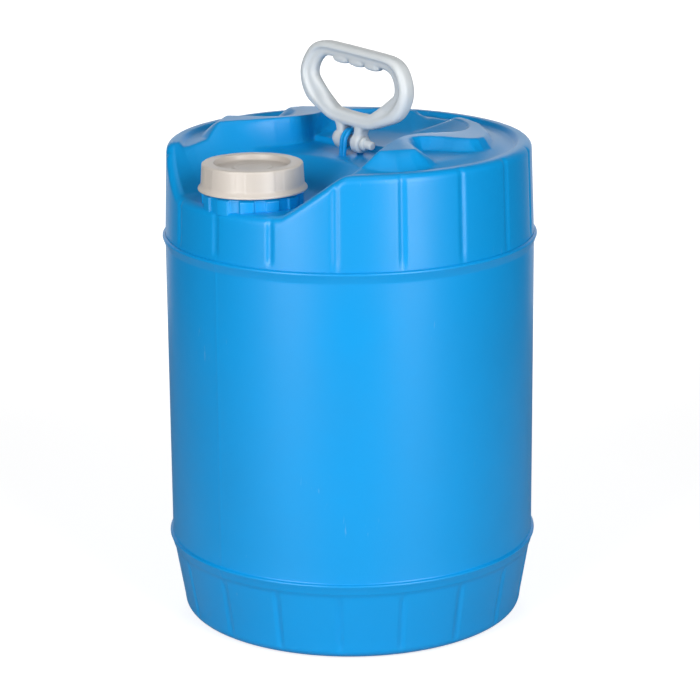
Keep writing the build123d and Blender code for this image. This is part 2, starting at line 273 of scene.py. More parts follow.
def lathe(profile, cols, centre, wobble=None):
    """Surface of revolution points[row, column] from (radius, z) rows round an upright axis.

    wobble(angle, z) adds to the radius.
    """
    angle = np.linspace(0, TAU, cols, endpoint=False)[None, :]
    rows = np.asarray(profile, float)
    radius = rows[:, 0:1] + np.zeros_like(angle)
    height = rows[:, 1:2] + np.zeros_like(angle)
    if wobble is not None:
        radius = radius + wobble(angle, height)
    return np.stack([centre[0] + radius * np.cos(angle), centre[1] + radius * np.sin(angle), height], -1)


def rounded(points, radius, steps=5):
    """Polyline with each inner corner replaced by a quadratic bend; radius is one number or one a corner."""
    p = [np.asarray(q, float) for q in points]
    radii = [radius] * len(p) if np.isscalar(radius) else list(radius)
    line = [p[0]]
    for k in range(1, len(p) - 1):
        before, after = p[k - 1] - p[k], p[k + 1] - p[k]
        reach = min(radii[k], 0.49 * np.linalg.norm(before), 0.49 * np.linalg.norm(after))
        start = p[k] + before / np.linalg.norm(before) * reach
        end = p[k] + after / np.linalg.norm(after) * reach
        for t in np.linspace(0, 1, steps):
            line.append((1 - t) ** 2 * start + 2 * t * (1 - t) * p[k] + t * t * end)
    line.append(p[-1])
    return np.array(line)


def subdivide(line, step):
    """Polyline with points added so that no span is longer than step."""
    out = [line[:1]]
    for a, b in zip(line[:-1], line[1:]):
        count = max(1, int(math.ceil(np.linalg.norm(b - a) / step)))
        t = np.linspace(0, 1, count + 1)[1:, None]
        out.append(a + (b - a) * t)
    return np.vstack(out)


def join(name, pieces):
    """One object from several."""
    bpy.ops.object.select_all(action="DESELECT")
    for piece in pieces:
        piece.select_set(True)
    bpy.context.view_layer.objects.active = pieces[0]
    bpy.ops.object.join()
    pieces[0].name = name
    pieces[0].data.name = name
    return pieces[0]


def finish_piece(piece, body, nodes, material):
    """Material, body and replaced CAD nodes of a finished piece."""
    piece.data.materials.clear()
    piece.data.materials.append(material)
    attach(piece, body)
    if nodes:
        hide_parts(*nodes)
    return piece


# ---------------------------------------------------------------- pail shapes

PAD_TOP_LINE = [
    (30, -70), (82, -59), (88.5, -54.8), (94, -44.5), (99, -38), (101.4, -33.8), (99.5, -31), (90, -24.5),
    (77, -16), (70.5, -8), (67.2, -1), (67.4, 6), (72, 13.5), (80, 21), (90, 25.8), (96.5, 30), (99.2, 36.5),
    (97.5, 46), (90.5, 56), (82, 66.5), (68.5, 79), (52.5, 91), (39, 96.5), (27, 100.5), (22.5, 100.5),
    (22, 95), (20, 60),
]
PAD_FOOT_LINE = [
    (30, -76), (82, -71), (93.7, -66), (105, -57.5), (111.5, -43), (112.5, -30), (110, -22.5), (105, -18.8),
    (96, -14.5), (85, -9), (76.5, -2), (74, 3), (77.5, 7.5), (84.5, 11), (93.5, 14.8), (101, 20.3),
    (105.5, 28), (105.6, 37), (102.5, 48), (94.5, 58.5), (85.5, 69.5), (71.5, 82.3), (54.5, 94.3),
    (40, 100), (27, 104),
    (14, 104), (8, 98), (8, 60),
]
RECESS_TOP = mirrored(
    [
        (106, -230), (107, -131), (105, -104), (102.5, -90), (97.5, -78), (92, -69), (84.8, -57), (79.2, -46),
        (73, -35), (64.8, -18), (59.8, -5), (57.6, 5), (57.6, 13), (59.5, 24), (63.5, 34.5), (66, 45),
        (66.5, 53.5), (64.5, 62), (60, 71), (49, 83), (38, 90.3), (27, 94), (12, 97),
    ]
)
RECESS_FOOT = mirrored(
    [
        (58, -230), (57, -131), (54.5, -116), (52.5, -103), (50.5, -90), (48.5, -75), (47, -57), (47.5, -46),
        (51.5, -28), (53.5, -15), (54.5, -5), (54, 5), (54, 13), (56, 24), (60, 34.5), (62.5, 45), (63, 53.5),
        (61, 61), (56.5, 69), (46.5, 80.5), (36, 87.5), (26, 91), (12, 94),
    ]
)


def pad_height(x, y):
    """How far a point is up the side of a stacking pad: 0 on the deck and 1 on the pad's top."""
    x = np.abs(x)
    to_top = outline_distance(x, y, PAD_TOP_LINE)
    to_foot = outline_distance(x, y, PAD_FOOT_LINE)
    between = -to_foot / np.maximum(to_top - to_foot, 1e-6)
    fraction = np.where(to_top <= 0, 1 - to_top / 4.0, np.where(to_foot >= 0, -to_foot / 4.0, between))
    return ramp(fraction, 0.16)


def head_height(x, y):
    """Height of the pail's head over (x, y).

    A crowned deck inside a raised rim carries two hooked pads, whose far arms are lower. From it are cut a
    wide recess with a shelf for the handle's ear, a scoop behind it that drains through a notch, and a deep
    well round the spout; every meeting line is rounded.
    """
    radius = np.hypot(x, y)
    deck = DECK + (GUTTER - DECK) * smoothstep((radius - 106) / 19)
    rim = GUTTER + (RIM - GUTTER) * smoothstep((radius - 126.3) / 4.4)
    deck = np.where(radius > 126.3, rim, deck)
    crest = PAD_TOP - 4.8 * ramp((y - 5) / 60, 0.3)
    raised = deck + (crest - deck) * pad_height(x, y)
    drain = DECK - 5.6 + 0.52 * np.hypot(x, 1.5)
    drain = drain + 30 * ramp((70 - y) / 20, 0.1) + 30 * ramp((radius - 121) / 12, 0.1)
    raised = smooth_min(raised, drain, 1.2)

    to_top = outline_distance(x, y, RECESS_TOP)
    to_foot = outline_distance(x, y, RECESS_FOOT)
    between = to_foot / np.maximum(to_foot - to_top, 1e-6)
    fraction = np.where(to_top >= 0, 1 + to_top / 6.0, np.where(to_foot <= 0, to_foot / 6.0, between))
    side = WELL_FLOOR + (PAD_TOP - WELL_FLOOR) * fraction
    floor = SHELF + (SCOOP_FLOOR - SHELF) * ramp((y - 18.0) / 2.2, 0.3)
    bowl = SCOOP_FLOOR + 0.44 * (np.hypot(x, np.maximum(y, 0.0)) - 68.0)
    recess = smooth_max(floor, bowl, 2.0)
    behind = np.hypot(x, np.maximum(y + 100, 0.0))
    well = smooth_max(WELL_FLOOR, WELL_FLOOR + 0.735 * (behind - 52.5), 3.0)
    cut = smooth_max(side, smooth_min(well, recess, 1.4), 2.0)
    soft = np.interp(y, [-110, -60, -30], [2.6, 2.2, 1.6])
    height = smooth_min(raised, cut, soft)
    bore = np.hypot(x, y - SPOUT[1]) < BORE_R + 2.2
    return np.where(bore, WELL_FLOOR - 110, height)


def flute_depth(angle):
    """Depth fraction of the shallow upright grooves: one every 20 degrees, counted from the spout."""
    period = TAU / FLUTES
    off = (angle + math.pi / 2 + period / 2) % period - period / 2
    across = np.abs(off) * WALL_R / FLUTE_HALF_WIDTH
    return 1 - smoothstep(across - 0.15)


def seam_height(angle):
    """Height fraction of the mould's parting line, at the spout and opposite it."""
    off = np.abs(np.cos(angle)) * WALL_R
    return np.clip(1 - off / SEAM_HALF_WIDTH, 0, 1)


def column_angles():
    """Angles of the shell's columns; one lies on each parting line."""
    return np.linspace(0, TAU, COLUMNS, endpoint=False)


def head_shell():
    """Upper shell points[row, column]: fluted wall, rounded shoulder and head, from the top band inwards."""
    angle = column_angles()[None, :]
    edge = head_height(SHOULDER_R * np.cos(angle), SHOULDER_R * np.sin(angle))
    band = BAND_TOPS[1]
    rise = np.linspace(0, 1, 15)[:, None]
    z = band + 0.45 + (edge - SHOULDER_ROUND - band - 0.45) * rise
    wall_r = WALL_R - 0.1 - TOP_WALL_TAPER * (z - band) / (RIM - SHOULDER_ROUND - band)
    fade = smoothstep((z - band - 2.5) / 4.0) * smoothstep((edge - 3.5 - z) / 4.5 + 0.15)
    r = wall_r - FLUTE_DEEP * flute_depth(angle) * fade + SEAM_TALL * seam_height(angle)
    lower = np.stack([r * np.cos(angle), r * np.sin(angle), z], -1)

    turn = np.linspace(0, math.pi / 2, 9)[1:, None]
    top_r = r[-1:]
    round_r = SHOULDER_R + (top_r - SHOULDER_R) * np.cos(turn)
    round_z = edge - SHOULDER_ROUND + SHOULDER_ROUND * np.sin(turn)
    shoulder = np.stack([round_r * np.cos(angle), round_r * np.sin(angle), round_z], -1)

    radii = np.concatenate(
        [
            np.linspace(SHOULDER_R, 126, 10)[1:],
            np.linspace(126, 52, 93)[1:],
            np.linspace(52, 0, 30)[1:-1],
        ]
    )[:, None]
    x, y = radii * np.cos(angle), radii * np.sin(angle)
    head = np.stack([x, y, head_height(x, y)], -1)
    return np.concatenate([lower, shoulder, head])


def band_profile(top):
    """Half section of a moulded band: a long taper up to a narrow face, then a crisp shoulder."""
    return [
        (WALL_R, top - 8.2), (WALL_R + 0.15, top - 7.4), (BAND_R - 0.35, top - 2.3),
        (BAND_R - 0.05, top - 1.7), (BAND_R, top - 1.2), (BAND_R - 0.05, top - 0.7),
        (BAND_R - 0.35, top - 0.3), (BAND_R - 0.9, top - 0.05), (BAND_R - 1.8, top + 0.1),
        (WALL_R + 0.05, top + 0.4),
    ]


def side_shell():
    """Lower shell points[row, column]: pushed-up base, resting ring, fluted foot, bands and plain wall."""
    angle = column_angles()[None, :]
    low, high = BAND_TOPS
    base = rounded(
        [(2, 5), (108, 5), (117, 0.0), (125.4, 0.0), (133.5, 4.2), (FOOT_R, FOOT_Z)], [0, 6, 3, 5, 9, 0], 7
    )
    foot_z = np.linspace(FOOT_Z, low - BAND_TAIL, 14)[1:]
    rise = (foot_z - FOOT_Z) / (low - BAND_TAIL - FOOT_Z)
    foot = np.stack([FOOT_R + (WALL_R - 0.9 - FOOT_R) * rise, foot_z], -1)
    plain_z = np.linspace(low + 1.2, high - BAND_TAIL, 16)
    plain = np.stack([np.full_like(plain_z, WALL_R), plain_z], -1)
    rows = np.vstack([base, foot, band_profile(low), plain, band_profile(high)])
    r = rows[:, 0:1]
    z = rows[:, 1:2]
    fade = smoothstep((z - 5) / 6.0) * smoothstep((low - 10.5 - z) / 5.0)
    r = r - FLUTE_DEEP * flute_depth(angle) * fade
    r = r + SEAM_TALL * seam_height(angle) * smoothstep((z - 2) / 4) * (r < BAND_R - 0.31)
    z = z + np.zeros_like(angle)
    return np.stack([r * np.cos(angle), r * np.sin(angle), z], -1)


def spout_surface():
    """Neck points[row, column]: ratchet ring, threaded tube, rounded lip and the bore inside."""
    top = NECK_TOP
    profile = rounded(
        [
            (31.0, WELL_FLOOR - 3), (RATCHET_R, WELL_FLOOR - 3), (RATCHET_R, WELL_FLOOR + 9.1),
            (NECK_R, WELL_FLOOR + 9.8), (NECK_R, top), (BORE_R, top), (BORE_R, WELL_FLOOR - 8),
            (31.0, WELL_FLOOR - 8), (31.0, WELL_FLOOR - 3),
        ],
        [0, 0.3, 0.9, 0.5, 1.3, 1.3, 0.3, 0.3, 0],
        5,
    )[:-1]
    profile = subdivide(profile, 0.55)

    def wobble(angle, z):
        """Teeth on the ratchet ring, and a ridge that climbs one pitch in each turn of the angle."""
        radius = profile[:, 0:1]
        wave = (angle / TAU * RATCHET_TEETH) % 1.0
        tooth = smoothstep(wave / 0.06) * smoothstep((0.62 - wave) / 0.06)
        ring = smoothstep((WELL_FLOOR + 8.6 - z) / 0.8) * (radius > 35)
        phase = (z - (WELL_FLOOR + 12.1) - THREAD_PITCH * angle / TAU) / THREAD_PITCH
        turn = np.round(phase)
        near = np.abs(phase - turn) * THREAD_PITCH
        ridge = THREAD_PROUD * (1 - smoothstep((near - 0.45) / 0.9)) * ((turn >= 0) & (turn < THREAD_TURNS))
        tube = (radius > NECK_R - 0.4) & (radius < 35) & (z > WELL_FLOOR + 10.6) & (z < top - 1.2)
        return RATCHET_PROUD * tooth * ring + ridge * tube

    return lathe(profile, 420, SPOUT, wobble)


def strap_surface():
    """Ear points[row, column]: a rounded strap section carried up, over and down an arch in the YZ plane."""
    arch_z = PIN[2] - EAR_DROP
    middle = EAR_ARCH_R
    turn = np.linspace(0, math.pi, 40)
    arc = np.stack([PIN[1] - middle * np.cos(turn), arch_z + middle * np.sin(turn)], -1)
    foot = SHELF - 2.5
    spread = 1.2
    first = np.linspace([PIN[1] - middle - spread, foot], arc[0], 16)[:-1]
    last = np.linspace(arc[-1], [PIN[1] + middle + spread, foot], 16)[1:]
    path = np.vstack([first, arc, last])
    along = np.gradient(path, axis=0)
    along /= np.linalg.norm(along, axis=1)[:, None]
    out = np.stack([along[:, 1], -along[:, 0]], -1)
    out = np.where(((path - [PIN[1], arch_z]) * out).sum(1, keepdims=True) < 0, -out, out)
    phi = np.linspace(0, TAU, 48, endpoint=False)
    u, v = superellipse(phi, 0.55)
    across = EAR_HALF_WIDTH * u
    thick = EAR_HALF_THICK * v
    groove = 0.7 * np.exp(-((across / 0.9) ** 2)) * (np.sin(phi) > 0)
    thick = thick - groove
    y = path[:, 0:1] + out[:, 0:1] * thick
    z = path[:, 1:2] + out[:, 1:2] * thick
    return np.stack([across[None, :] + 0 * y, y, z], -1)


# ---------------------------------------------------------------- cap, seal, handle and pin shapes

def cap_surface():
    """Screw cap points[row, column]: foot flange, grip wall, rounded crown, dished top and hollow inside."""
    low, top = CAP_LOW[2], CAP_HIGH[2]
    profile = rounded(
        [
            (35.9, low), (CAP_R + 2.1, low), (CAP_R + 2.3, low + 1.5), (CAP_R + 0.7, low + 3.3),
            (CAP_R, low + 4.5), (CAP_R - 0.9, top - 0.4), (CAP_R - 3.5, top), (28.6, top), (27.4, top - 4.3),
            (15.5, top - 4.5), (14.4, top - 3.5), (13.2, top - 3.6), (11.5, top - 4.2), (2, top - 4.6),
        ],
        [0, 0.7, 1.0, 1.0, 1.5, 3.4, 2.0, 1.1, 1.3, 0.8, 0.6, 0.6, 2.0, 0],
        6,
    )
    inside = rounded(
        [(2, top - 6.0), (CAP_R - 3.2, top - 6.0), (CAP_R - 3.2, low + 0.6), (35.9, low)], [0, 0.8, 0.4, 0], 5
    )[:-1]
    rows = np.vstack([inside, subdivide(profile, 0.8)])
    outer_rows = np.arange(len(rows)) >= len(inside)

    def wobble(angle, z):
        """Shallow hollows between the facets of the grip wall."""
        wave = (angle / TAU * CAP_FACETS + 0.18) % 1.0
        lobe = smoothstep(wave / 0.05) * smoothstep((0.80 - wave) / 0.05)
        wall = outer_rows[:, None] & (rows[:, 0:1] > CAP_R - 3.4) & (z > low + 3.4)
        upper = smoothstep((z - low - 3.6) / 1.6)
        return -CAP_FACET_DEEP * (1 - lobe) * wall * upper

    return lathe(rows, 400, SPOUT, wobble)


def gasket_surface():
    """Seal ring points[row, column]: a flat ring with softened corners."""
    low, high = GASKET_LOW[2], GASKET_HIGH[2]
    inner = BORE_R - 1
    outer = GASKET_HIGH[0]
    ring = rounded(
        [(inner + 2, low), (outer, low), (outer, high), (inner, high), (inner, low), (inner + 2, low)], 0.4, 4
    )[:-1]
    return lathe(ring, 160, SPOUT)


def ring_outlines():
    """Outer and inner outlines of the handle's ring about the pin, as matching (x, z) points."""
    outer = [
        (0, 72.3), (18, 72.3), (35.5, 71.6), (46, 67.3), (52.6, 59), (56.1, 50), (56.4, 42), (53.2, 32),
        (46.5, 23.8), (34, 17.6), (21, 12.6), (10, 11.6),
    ]
    inner = [
        (0, 60.9), (16, 60.9), (29.5, 60.6), (36, 58.4), (40.2, 53.5), (42, 48), (41.4, 43.5), (37, 39.2),
        (30.5, 33.5), (23.5, 27.4), (17.2, 23.7), (9, 22.9),
    ]
    lines = []
    for half, foot in ((outer, (0, 11.4)), (inner, (0, 22.7))):
        other = [(-x, z) for x, z in reversed(half[1:])]
        lines.append(catmull(half + [foot] + other, 12))
    return lines


def ring_surface():
    """Ring points[row, column] in the plane y = 0: a rounded section between two outlines.

    The section is a superellipse. Its inner half is narrower, which leaves a raised outer band.
    """
    outer, inner = ring_outlines()
    centre = (outer + inner) / 2
    reach = (outer - inner) / 2
    phi = np.linspace(0, TAU, 72, endpoint=False)[None, :]
    u, v = superellipse(phi, 0.66)
    bottom = smoothstep((30 - centre[:, 1:2]) / 8)
    narrow = 1 - (0.3 - 0.2 * bottom) * smoothstep((0.1 - u) / 0.16)
    x = centre[:, 0:1] + reach[:, 0:1] * u
    z = centre[:, 1:2] + reach[:, 1:2] * u
    return np.stack([x, HANDLE_HALF_DEPTH * v * narrow, z], -1)


def handle_frame():
    """Matrix from the handle's own upright frame, with its pin at the origin, to the pail's frame."""
    tip = Matrix.Rotation(math.atan2(-PIN_AXIS[2], PIN_AXIS[0]), 4, "Y")
    lean = Matrix.Rotation(math.radians(HANDLE_LEAN), 4, "X")
    return Matrix.Translation(Vector(PIN * MM)) @ tip @ lean


def box_loft(levels, cols=48):
    """Closed loft points[row, column] of rounded rectangles: each level is (z, x, y, half_x, half_y)."""
    phi = np.linspace(0, TAU, cols, endpoint=False)[None, :]
    levels = catmull(levels, 6, closed=False)
    u, v = superellipse(phi, 0.6)
    x = levels[:, 1:2] + levels[:, 3:4] * u
    y = levels[:, 2:3] + levels[:, 4:5] * v
    return np.stack([x, y, levels[:, 0:1] + 0 * u], -1)


def rod_surface(rows, cols=64):
    """Rod along x, points[row, column], from (x, radius) rows."""
    phi = np.linspace(0, TAU, cols, endpoint=False)[None, :]
    rows = np.asarray(rows, float)
    return np.stack(
        [rows[:, 0:1] + 0 * phi, rows[:, 1:2] * np.cos(phi), rows[:, 1:2] * np.sin(phi)], -1
    )


# ---------------------------------------------------------------- materials

def node_group(name, inputs, outputs):
    """Empty shader group with named float inputs and value outputs, and its end nodes."""
    group = bpy.data.node_groups.new(name, "ShaderNodeTree")
    for label, default in inputs:
        socket = group.interface.new_socket(name=label, in_out="INPUT", socket_type="NodeSocketFloat")
        socket.default_value = default
    for label in outputs:
        group.interface.new_socket(name=label, in_out="OUTPUT", socket_type="NodeSocketFloat")
    return group, group.nodes.new("NodeGroupInput"), group.nodes.new("NodeGroupOutput")


def noise(tree, scale, detail, vector):
    """Noise texture node fed by a vector."""
    node = tree.nodes.new("ShaderNodeTexNoise")
    node.inputs["Scale"].default_value = scale
    node.inputs["Detail"].default_value = detail
    tree.links.new(vector, node.inputs["Vector"])
    return node.outputs["Fac"]


def combine(tree, operation, a, b):
    """Math node on two values, each an output or a number."""
    node = tree.nodes.new("ShaderNodeMath")
    node.operation = operation
    for socket, value in zip(node.inputs, (a, b)):
        if isinstance(value, bpy.types.NodeSocket):
            tree.links.new(value, socket)
        else:
            socket.default_value = value
    return node.outputs[0]


def map_range(tree, value, from_min, from_max, to_min=0.0, to_max=1.0):
    """Clamped straight map of a value from one range to another."""
    node = tree.nodes.new("ShaderNodeMapRange")
    node.inputs["From Min"].default_value = from_min
    node.inputs["From Max"].default_value = from_max
    node.inputs["To Min"].default_value = to_min
    node.inputs["To Max"].default_value = to_max
    tree.links.new(value, node.inputs["Value"])
    return node.outputs["Result"]


def moulded_skin_group():
    """Moulded plastic: a fine pebble, slow waviness from cooling, and a mottle mask."""
    group, ins, outs = node_group(
        "moulded_skin", [("Pebble", 1.0), ("Wave", 1.0)], ["Height", "Mottle"]
    )
    link = group.links.new
    where = group.nodes.new("ShaderNodeTexCoord").outputs["Object"]
    fine = combine(group, "MULTIPLY", noise(group, 900, 3, where), ins.outputs["Pebble"])
    slow = combine(group, "MULTIPLY", noise(group, 26, 2, where), ins.outputs["Wave"])
    link(combine(group, "ADD", fine, slow), outs.inputs["Height"])
    link(noise(group, 11, 5, where), outs.inputs["Mottle"])
    return group


def scuff_group():
    """Handling marks: thin, broken streaks and a few dull patches, as one mask."""
    group, ins, outs = node_group("scuffs", [("Amount", 1.0)], ["Mask"])
    where = group.nodes.new("ShaderNodeTexCoord").outputs["Object"]
    stretch = group.nodes.new("ShaderNodeMapping")
    stretch.inputs["Scale"].default_value = (1.0, 1.0, 0.16)
    group.links.new(where, stretch.inputs["Vector"])
    thin = map_range(group, noise(group, 420, 2, stretch.outputs["Vector"]), 0.68, 0.76)
    patch = map_range(group, noise(group, 17, 4, where), 0.58, 0.72)
    both = combine(group, "MULTIPLY", thin, patch)
    group.links.new(combine(group, "MULTIPLY", both, ins.outputs["Amount"]), outs.inputs["Mask"])
    return group


def plastic_material(name, colour, shade, roughness, pebble=1.0, wave=1.0, scuffs=0.6, glow=0.0):
    """Moulded polyethylene: colour with a slow mottle, roughness that varies, scuffs and a fine skin."""
    skin_group, scuffs_group = shared_groups()
    material = bpy.data.materials.new(name)
    material.use_nodes = True
    tree = material.node_tree
    link = tree.links.new
    shader = tree.nodes["Principled BSDF"]
    skin = tree.nodes.new("ShaderNodeGroup")
    skin.node_tree = skin_group
    skin.inputs["Pebble"].default_value = pebble
    skin.inputs["Wave"].default_value = wave
    marks = tree.nodes.new("ShaderNodeGroup")
    marks.node_tree = scuffs_group
    marks.inputs["Amount"].default_value = scuffs
    mix = tree.nodes.new("ShaderNodeMix")
    mix.data_type = "RGBA"
    mix.inputs[MIX_A].default_value = (*colour, 1)
    mix.inputs[MIX_B].default_value = (*shade, 1)
    link(skin.outputs["Mottle"], mix.inputs[MIX_FACTOR])
    worn = tree.nodes.new("ShaderNodeMix")
    worn.data_type = "RGBA"
    pale = [c + (0.75 - c) * 0.35 for c in colour]
    worn.inputs[MIX_B].default_value = (*pale, 1)
    link(marks.outputs["Mask"], worn.inputs[MIX_FACTOR])
    link(mix.outputs[MIX_RESULT], worn.inputs[MIX_A])
    link(worn.outputs[MIX_RESULT], shader.inputs["Base Color"])
    rough = map_range(tree, skin.outputs["Mottle"], 0.25, 0.75, roughness - 0.05, roughness + 0.06)
    duller = tree.nodes.new("ShaderNodeMath")
    duller.operation = "MULTIPLY_ADD"
    duller.inputs[1].default_value = 0.2
    link(marks.outputs["Mask"], duller.inputs[0])
    link(rough, duller.inputs[2])
    link(duller.outputs[0], shader.inputs["Roughness"])
    relief = tree.nodes.new("ShaderNodeBump")
    relief.inputs["Strength"].default_value = 0.06
    relief.inputs["Distance"].default_value = 0.001
    link(skin.outputs["Height"], relief.inputs["Height"])
    link(relief.outputs["Normal"], shader.inputs["Normal"])
    shader.inputs["IOR"].default_value = 1.5
    if glow:
        shader.inputs["Subsurface Weight"].default_value = glow
        shader.inputs["Subsurface Radius"].default_value = (0.004, 0.004, 0.004)
        shader.inputs["Subsurface Scale"].default_value = 1.0
    return material


def paint_dished_top_shade(material, depth):
    """Painted shade: deepen the colour inside the cap's dished top, standing in for the shade in that recess
    and for the dark space seen through its thin web.
    """
    tree = material.node_tree
    link = tree.links.new
    shader = tree.nodes["Principled BSDF"]
    source = shader.inputs["Base Color"].links[0].from_socket
    coords = tree.nodes.new("ShaderNodeTexCoord")
    offset = tree.nodes.new("ShaderNodeVectorMath")
    offset.operation = "SUBTRACT"
    offset.inputs[1].default_value = (SPOUT[0] * MM, SPOUT[1] * MM, (CAP_HIGH[2] - 5) * MM)
    flat = tree.nodes.new("ShaderNodeVectorMath")
    flat.operation = "MULTIPLY"
    flat.inputs[1].default_value = (1, 1, 0.4)
    length = tree.nodes.new("ShaderNodeVectorMath")
    length.operation = "LENGTH"
    # painted shade: a grey multiplied over the colour inside the dished top
    painted_shade = tree.nodes.new("ShaderNodeMix")
    painted_shade.data_type = "RGBA"
    painted_shade.blend_type = "MULTIPLY"
    painted_shade.inputs[MIX_B].default_value = (0.62, 0.63, 0.65, 1)
    link(coords.outputs["Object"], offset.inputs[0])
    link(offset.outputs["Vector"], flat.inputs[0])
    link(flat.outputs["Vector"], length.inputs[0])
    link(map_range(tree, length.outputs["Value"], 0.0288, 0.0268, 0.0, depth), painted_shade.inputs[MIX_FACTOR])
    link(source, painted_shade.inputs[MIX_A])
    link(painted_shade.outputs[MIX_RESULT], shader.inputs["Base Color"])


def paper_material(name, colour, glow):
    """Matt paper that stays white where it is looked at and gives back only a little light."""
    material = bpy.data.materials.new(name)
    material.use_nodes = True
    tree = material.node_tree
    shader = tree.nodes["Principled BSDF"]
    shader.inputs["Base Color"].default_value = (*colour, 1)
    shader.inputs["Roughness"].default_value = 0.9
    shader.inputs["Specular IOR Level"].default_value = 0.1
    shader.inputs["Emission Color"].default_value = (1, 1, 1, 1)
    path = tree.nodes.new("ShaderNodeLightPath")
    shown = combine(tree, "MULTIPLY", path.outputs["Is Camera Ray"], glow)
    tree.links.new(shown, shader.inputs["Emission Strength"])
    return material


# ---------------------------------------------------------------- user settings

class PAIL_PG_settings(bpy.types.PropertyGroup):
    """Colours, finish and lights that a user may change."""

    body_colour: bpy.props.FloatVectorProperty(
        name="Body colour", description="Azure blue of the moulded pail", subtype="COLOR", size=3,
        default=(0.0, 0.335, 0.79), min=0, max=1,
    )
    cap_colour: bpy.props.FloatVectorProperty(
        name="Cap colour", description="Natural warm white of the cap", subtype="COLOR", size=3,
        default=(0.64, 0.585, 0.53), min=0, max=1,
    )
    handle_colour: bpy.props.FloatVectorProperty(
        name="Handle colour", description="Cool milky white of the handle", subtype="COLOR", size=3,
        default=(0.67, 0.705, 0.72), min=0, max=1,
    )
    body_roughness: bpy.props.FloatProperty(
        name="Body roughness", description="Dullness of the pail's surface", subtype="FACTOR",
        default=0.35, min=0.05, max=1,
    )
    light_power: bpy.props.FloatProperty(
        name="Light power", description="Strength of the studio lights", unit="POWER", default=1.0, min=0,
    )
    floor_size: bpy.props.FloatProperty(
        name="Floor size", description="Radius of the floor", unit="LENGTH", default=0.95, min=0.3,
    )


def settings():
    """This scene's pail settings."""
    return bpy.context.scene.pail_settings


def shared_groups():
    """The two shared effect groups, made once."""
    skin = bpy.data.node_groups.get("moulded_skin") or moulded_skin_group()
    marks = bpy.data.node_groups.get("scuffs") or scuff_group()
    return skin, marks


def body_material():
    """Blue polyethylene shared by the shell, its spout and its ear."""
    found = bpy.data.materials.get("blue_polyethylene")
    if found:
        return found
    colour = tuple(settings().body_colour)
    shade = tuple(c * 0.86 for c in colour)
    return plastic_material("blue_polyethylene", colour, shade, settings().body_roughness)


def handle_material():
    """Milky natural polyethylene of the handle and its pin."""
    found = bpy.data.materials.get("milky_polyethylene")
    if found:
        return found
    colour = tuple(settings().handle_colour)
    shade = tuple(c * 0.95 for c in colour)
    return plastic_material(
        "milky_polyethylene", colour, shade, 0.38, pebble=0.6, wave=1.4, scuffs=0.2, glow=0.35
    )


# ---------------------------------------------------------------- operators

class PAIL_OT_shell(bpy.types.Operator):
    """Build the moulded shell: side, head, spout and handle ear"""

    bl_idname = "pail.shell"
    bl_label = "Moulded shell"

    def execute(self, context):
        material = body_material()
        side = grid_piece("pail_side_shell", side_shell(), pole_first=True)
        finish_piece(side, "pail", ["pail_body"], material)
        head = grid_piece("pail_head_shell", head_shell(), pole_last=True)
        finish_piece(head, "pail", ["pail_body"], material)
        spout = grid_piece("threaded_spout", spout_surface(), close_rows=True)
        finish_piece(spout, "pail", ["pail_body"], material)
        ear = grid_piece("handle_ear", strap_surface(), pole_first=True, pole_last=True)
        finish_piece(ear, "pail", ["pail_body"], material)
        return {"FINISHED"}


class PAIL_OT_cap(bpy.types.Operator):
    """Build the screw cap and the seal inside it"""

    bl_idname = "pail.cap"
    bl_label = "Screw cap and seal"

    def execute(self, context):
        colour = tuple(settings().cap_colour)
        shade = tuple(c * 0.93 for c in colour)
        white = plastic_material(
            "warm_white_polyethylene", colour, shade, 0.34, pebble=0.7, scuffs=0.3, glow=0.25
        )
        # painted shade inside the cap's dished top
        paint_dished_top_shade(white, 0.28)
        cap = grid_piece("screw_cap_skin", cap_surface(), pole_first=True, pole_last=True)
        finish_piece(cap, "cap", ["screw_cap"], white)
        foam = plastic_material(
            "seal_foam", (0.78, 0.77, 0.72), (0.70, 0.69, 0.64), 0.8, pebble=3, scuffs=0
        )
        seal = grid_piece("seal_ring", gasket_surface(), close_rows=True)
        finish_piece(seal, "seal", ["cap_gasket"], foam)
        return {"FINISHED"}


